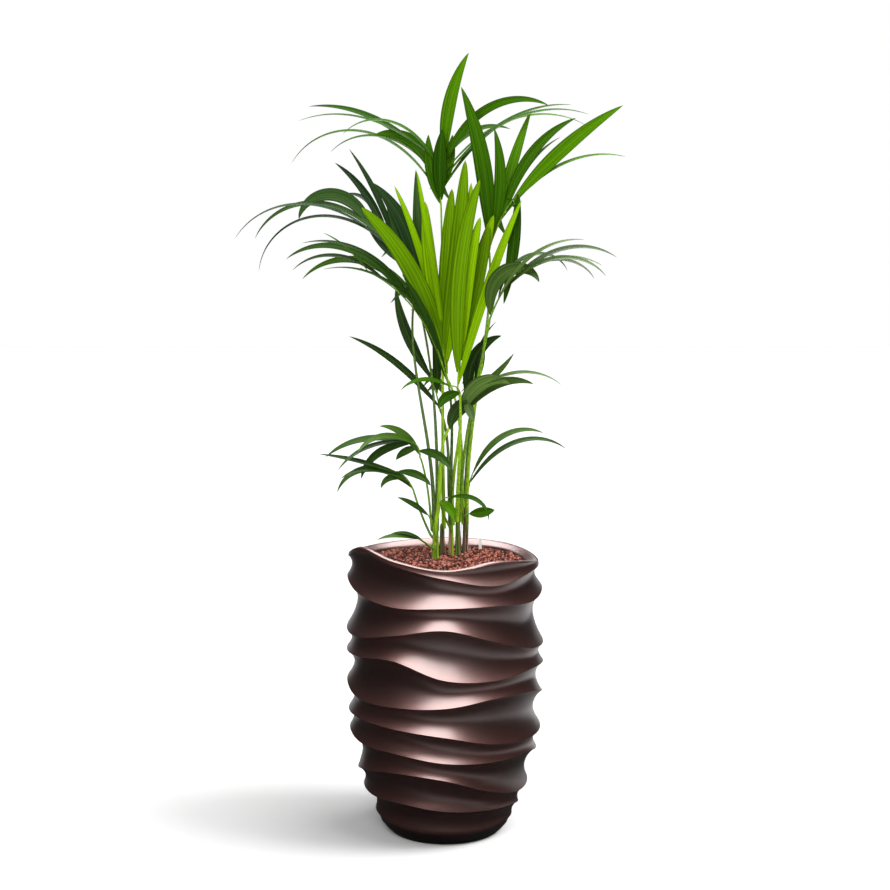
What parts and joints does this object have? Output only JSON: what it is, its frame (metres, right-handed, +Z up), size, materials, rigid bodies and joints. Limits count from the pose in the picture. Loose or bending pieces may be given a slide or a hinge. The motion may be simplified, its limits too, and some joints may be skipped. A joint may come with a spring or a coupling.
{
  "type": "potted kentia palm",
  "caption": "Kentia palm, a clump of slender stalks with arching feathered fronds, in a tall round planter with a wavy folded wall and clay granules.",
  "frame": {"origin": "centre of the planter's flat underside", "axes": "+Z up, -Y the front"},
  "size_m": [0.757, 0.5527, 1.5305],
  "materials": {
    "lacquer": "satin metallic coffee-brown lacquer on glass-fibre resin",
    "granules": "matte fired clay",
    "gauge": "satin white plastic",
    "sheath": "matte green and brown leaf sheaths",
    "stalk": "satin green leaf stalk",
    "leaf_mid": "satin mid green leaf, paler beneath",
    "leaf_young": "satin bright yellow-green young leaf",
    "leaf_blue": "satin dark bluish green leaf",
    "leaf_dark": "satin very dark green leaf",
    "leaf_dull": "satin grey-green leaf",
    "leaf_deep": "satin deep green leaf"
  },
  "bodies": {
    "root": {"planter": "lacquer", "granules": "granules", "water_gauge": "gauge", "stem_left": "sheath", "stem_inner": "sheath", "stem_front": "sheath", "stem_middle": "sheath", "stem_right": "sheath", "stem_far": "sheath", "stalk_top": "stalk", "frond_top": "leaf_mid", "stalk_right_high": "stalk", "frond_right_high": "leaf_mid", "stalk_young_left": "stalk", "frond_young_left": "leaf_young", "stalk_young_right": "stalk", "frond_young_right": "leaf_young", "stalk_left_high": "stalk", "frond_left_high": "leaf_blue", "stalk_left_tall": "stalk", "frond_left_tall": "leaf_blue", "stalk_left_mid": "stalk", "frond_left_mid": "leaf_dark", "stalk_right_mid": "stalk", "frond_right_mid": "leaf_dull", "stalk_back_left": "stalk", "frond_back_left": "leaf_dark", "stalk_centre_low": "stalk", "frond_centre_low": "leaf_mid", "stalk_right_low": "stalk", "frond_right_low": "leaf_dull", "stalk_back_right": "stalk", "frond_back_right": "leaf_dark", "stalk_left_low": "stalk", "frond_left_low": "leaf_deep", "stalk_left_lowest": "stalk", "frond_left_lowest": "leaf_deep", "stalk_right_side": "stalk", "frond_right_side": "leaf_deep", "stalk_front_small": "stalk", "frond_front_small": "leaf_mid", "stalk_leaf_left": "stalk", "frond_leaf_left": "leaf_deep", "stalk_leaf_right": "stalk", "frond_leaf_right": "leaf_mid", "stalk_leaf_rim": "stalk", "frond_leaf_rim": "leaf_deep"}
  },
  "joints": []
}
